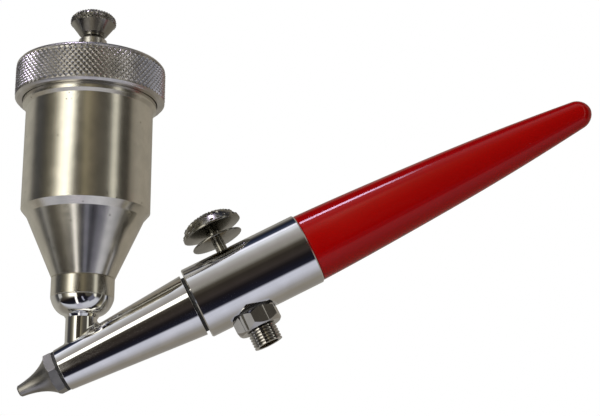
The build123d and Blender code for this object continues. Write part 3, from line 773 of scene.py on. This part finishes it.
# ---------------------------------------------------------------- floor, light and camera
# Room round the barrel's axis: degrees up from straight ahead of the gun's side, and colour
ROOM_ROUND_BARREL = (
    (-180, (0.38, 0.36, 0.32)), (-150, (0.26, 0.24, 0.21)), (-120, (0.27, 0.245, 0.20)),
    (-100, (0.34, 0.325, 0.31)), (-85, (0.50, 0.50, 0.54)), (-72, (0.62, 0.63, 0.70)),
    (-57, (0.64, 0.65, 0.73)), (-50, (0.016, 0.017, 0.028)), (-38, (0.010, 0.010, 0.016)),
    (-24, (0.012, 0.010, 0.011)), (-10, (0.040, 0.032, 0.028)), (8, (0.032, 0.026, 0.020)),
    (20, (0.070, 0.060, 0.045)), (32, (0.27, 0.255, 0.22)), (46, (0.34, 0.315, 0.29)),
    (62, (0.48, 0.47, 0.45)), (75, (0.80, 0.82, 0.86)), (84, (0.70, 0.71, 0.78)),
    (92, (0.055, 0.065, 0.10)), (103, (0.018, 0.024, 0.045)), (113, (0.016, 0.018, 0.024)),
    (124, (0.12, 0.11, 0.10)), (132, (0.29, 0.275, 0.24)), (180, (0.38, 0.36, 0.32)))

# Room round the cup's axis: degrees to the right of straight ahead, and colour
ROOM_ROUND_CUP = (
    (-180, (0.40, 0.385, 0.34)), (-118, (0.42, 0.405, 0.36)), (-108, (0.36, 0.345, 0.31)),
    (-98, (0.085, 0.082, 0.080)), (-84, (0.055, 0.056, 0.060)), (-70, (0.072, 0.066, 0.052)),
    (-56, (0.17, 0.155, 0.12)), (-47, (0.50, 0.47, 0.38)), (-38, (1.7, 1.62, 1.40)),
    (-20, (2.4, 2.30, 2.05)), (-10, (1.3, 1.22, 0.90)), (-3, (0.55, 0.50, 0.34)),
    (4, (0.36, 0.32, 0.21)), (14, (0.18, 0.155, 0.110)), (28, (0.088, 0.080, 0.066)),
    (50, (0.085, 0.078, 0.066)), (55, (0.95, 0.93, 0.82)), (61, (1.05, 1.02, 0.90)),
    (65, (0.060, 0.054, 0.044)), (88, (0.040, 0.036, 0.031)), (93, (0.26, 0.24, 0.20)),
    (108, (0.34, 0.315, 0.27)), (130, (0.34, 0.31, 0.26)), (180, (0.30, 0.275, 0.235)))

# Bright panels low in the room: aim, sideways, half width, half height, soft edge, colour
PANELS = (
    ((-0.47, -0.40, -0.79), (1, 0, 0), 0.16, 0.22, 0.08, (0.52, 0.51, 0.60)),
    ((-0.075, -0.80, -0.60), (1, 0, 0), 0.045, 0.16, 0.02, (0.40, 0.41, 0.52)),
    ((0.36, -0.58, -0.73), (1, 0, 0), 0.22, 0.14, 0.05, (0.15, 0.15, 0.20)),
    ((-0.44, -0.80, -0.41), (0.87, -0.30, -0.40), 0.055, 0.40, 0.035, (1.9, 1.85, 1.8)),
    ((-0.17, -0.845, 0.507), (1, 0, 0), 0.13, 0.13, 0.045, (2.3, 2.25, 2.0)),
    ((-0.95, -0.20, 0.24), (0, 1, 0), 0.13, 0.12, 0.05, (0.55, 0.54, 0.52)),
)

# Strip light above: degrees up where it starts and ends, how far it reaches along the barrel, its
# colour over the metal and over the handle, and where the one goes over into the other
STRIP_LOW, STRIP_HIGH = (79.0, 82.0), (90.0, 87.0)
STRIP_FRONT, STRIP_REAR = (-0.34, -0.26), (0.29, 0.20)
STRIP_LIGHT, STRIP_OVER_HANDLE = (1.0, 1.0, 1.08), (22.0, 19.0, 27.0)
STRIP_CHANGE = (0.10, 0.15)

# Where the room round the cup takes over: along the barrel to the front or the rear of these, and
# between these along the cup
ASIDE_FRONT, ASIDE_REAR = (-0.27, -0.32), (0.12, 0.22)
CUP_LEVEL_HIGH, CUP_LEVEL_LOW = (0.86, 0.72), (-0.50, -0.30)

FLOOR_DEPTH = 0.16
FLOOR_HALF = 1.6
LAMP_SIZE = (0.9, 0.6)
LAMP_WATTS = 9.0
LAMP_COLOUR = (1.0, 0.97, 0.92)
LAMP_PLACE, LAMP_AIM = (-0.25, -0.75, 0.45), (0.02, 0, 0.01)

CAMERA_AZIMUTH = math.radians(-5.998)
CAMERA_ELEVATION = math.radians(-13.681)
CAMERA_ROLL = math.radians(27.6)
CAMERA_AIM = (19.3 * MM, 0, 8.9 * MM)
CAMERA_DISTANCE = 272.2 * MM
CAMERA_SENSOR, CAMERA_LENS = 36, 74.8     # millimetres
CAMERA_CLIP = 0.01


def studio_floor():
    """Wide pale floor below the camera."""
    corners = [(x * FLOOR_HALF, y * FLOOR_HALF, -FLOOR_DEPTH)
               for x, y in ((-1, -1), (1, -1), (1, 1), (-1, 1))]
    floor = mesh_object("studio_floor", corners, [(0, 1, 2, 3)])
    material, tree, shader = surface("floor_white", (0.86, 0.86, 0.85), 0.0, 0.7)
    grain = noise(tree, tree.add("ShaderNodeTexCoord").outputs["Object"], 40, 3)
    tree.feed(shader.inputs["Base Color"], tree.mix(grain, (0.84, 0.84, 0.83, 1), (0.88, 0.88, 0.87, 1)))
    floor.data.materials.append(material)
    floor.visible_glossy = False


def ramp(tree, angle, stops):
    """Colour by an angle in degrees, from (degrees, colour) stops that run from -180 to 180."""
    share = tree.math("MULTIPLY_ADD", angle, 1 / 360, 0.5)
    node = tree.add("ShaderNodeValToRGB", {"Fac": share})
    elements = node.color_ramp.elements
    elements[0].position = 0.0
    elements[0].color = (*stops[0][1], 1)
    elements[1].position = 1.0
    elements[1].color = (*stops[-1][1], 1)
    for degrees, colour in stops[1:-1]:
        elements.new(degrees / 360 + 0.5).color = (*colour, 1)
    return node.outputs["Color"]


def angle_between(tree, sine, cosine):
    """Angle in degrees whose sine and cosine go as these."""
    return tree.math("MULTIPLY", tree.math("ARCTAN2", sine, cosine), 180 / math.pi)


LEAST_AHEAD, CLEAR_AHEAD = 0.05, 0.10    # a panel fades out between these cosines from its centre


def panel(tree, direction, centre, side, wide, tall, soft):
    """How far a direction is inside a rectangle with soft edges, seen round its centre."""
    right = (side - centre * centre.dot(side)).normalized()
    ahead = tree.dot(direction, centre)
    safe = tree.math("MAXIMUM", ahead, LEAST_AHEAD)
    x = tree.math("ABSOLUTE", tree.math("DIVIDE", tree.dot(direction, right), safe))
    y = tree.math("ABSOLUTE", tree.math("DIVIDE", tree.dot(direction, centre.cross(right)), safe))
    cover = tree.math(
        "MULTIPLY", tree.fade(x, wide + soft, wide - soft), tree.fade(y, tall + soft, tall - soft))
    return tree.math("MULTIPLY", cover, tree.fade(ahead, LEAST_AHEAD, CLEAR_AHEAD))


def studio_world():
    """Studio as the metal sees it: a dim room with soft bands, pale panels and a strip light."""
    world = bpy.data.worlds.new("studio")
    bpy.context.scene.world = world
    world.use_nodes = True
    world.node_tree.nodes.clear()
    tree = Tree(world.node_tree)
    direction = tree.add("ShaderNodeTexCoord").outputs["Generated"]
    toward = tree.dot(direction, (0, -1, 0))
    up = tree.dot(direction, (0, 0, 1))
    along_barrel = tree.dot(direction, (1, 0, 0))
    along_cup = tree.dot(direction, cup_direction)
    beside_cup = tree.dot(direction, cup_direction.cross(Vector((0, -1, 0))))
    lean = angle_between(tree, up, toward)
    room = ramp(tree, lean, ROOM_ROUND_BARREL)
    sides = ramp(tree, angle_between(tree, beside_cup, toward), ROOM_ROUND_CUP)
    aside = tree.math(
        "MAXIMUM", tree.fade(along_barrel, *ASIDE_FRONT), tree.fade(along_barrel, *ASIDE_REAR))
    level = tree.math(
        "MULTIPLY", tree.fade(along_cup, *CUP_LEVEL_HIGH), tree.fade(along_cup, *CUP_LEVEL_LOW))
    shade = tree.mix(tree.math("MULTIPLY", aside, level), room, sides)
    for aim, side, wide, tall, soft, colour in PANELS:
        cover = panel(tree, direction, Vector(aim).normalized(), Vector(side), wide, tall, soft)
        shade = tree.mix(cover, shade, (*colour, 1))
    strip = tree.math("MULTIPLY", tree.fade(lean, *STRIP_LOW), tree.fade(lean, *STRIP_HIGH))
    ends = tree.math(
        "MULTIPLY", tree.fade(along_barrel, *STRIP_FRONT), tree.fade(along_barrel, *STRIP_REAR))
    change = tree.fade(along_barrel, *STRIP_CHANGE)
    glare = tree.mix(change, (*STRIP_LIGHT, 1), (*STRIP_OVER_HANDLE, 1))
    shade = tree.mix(tree.math("MULTIPLY", strip, ends), shade, glare)
    seen = tree.add("ShaderNodeLightPath").outputs["Is Camera Ray"]
    light = tree.add("ShaderNodeBackground", {"Color": tree.mix(seen, shade, (1, 1, 1, 1)), "Strength": 1.0})
    tree.add("ShaderNodeOutputWorld", {"Surface": light.outputs[0]})


def studio_lamp():
    """Large soft light for the matt surfaces, unseen by the metal."""
    lamp = bpy.data.lights.new("fill", "AREA")
    lamp.shape = "RECTANGLE"
    lamp.size, lamp.size_y = LAMP_SIZE
    lamp.energy = LAMP_WATTS
    lamp.color = LAMP_COLOUR
    holder = bpy.data.objects.new("fill", lamp)
    holder.location = LAMP_PLACE
    holder.rotation_mode = "QUATERNION"
    holder.rotation_quaternion = (holder.location - Vector(LAMP_AIM)).to_track_quat("Z", "Y")
    holder.visible_glossy = False
    holder.visible_camera = False
    bpy.context.collection.objects.link(holder)


def studio_camera():
    """Camera low in front, rolled so that the handle rises to the right."""
    level = math.cos(CAMERA_ELEVATION)
    back = Vector((math.sin(CAMERA_AZIMUTH) * level, -math.cos(CAMERA_AZIMUTH) * level,
                   math.sin(CAMERA_ELEVATION)))
    data = bpy.data.cameras.new("camera")
    data.sensor_width = CAMERA_SENSOR
    data.lens = CAMERA_LENS
    data.clip_start = CAMERA_CLIP
    camera = bpy.data.objects.new("camera", data)
    camera.location = Vector(CAMERA_AIM) + back * CAMERA_DISTANCE
    camera.rotation_mode = "QUATERNION"
    roll = Matrix.Rotation(-CAMERA_ROLL, 3, "Z").to_quaternion()
    camera.rotation_quaternion = back.to_track_quat("Z", "Y") @ roll
    bpy.context.collection.objects.link(camera)
    bpy.context.scene.camera = camera


studio_floor()
studio_world()
studio_lamp()
studio_camera()
bpy.context.scene.view_settings.view_transform = "Standard"
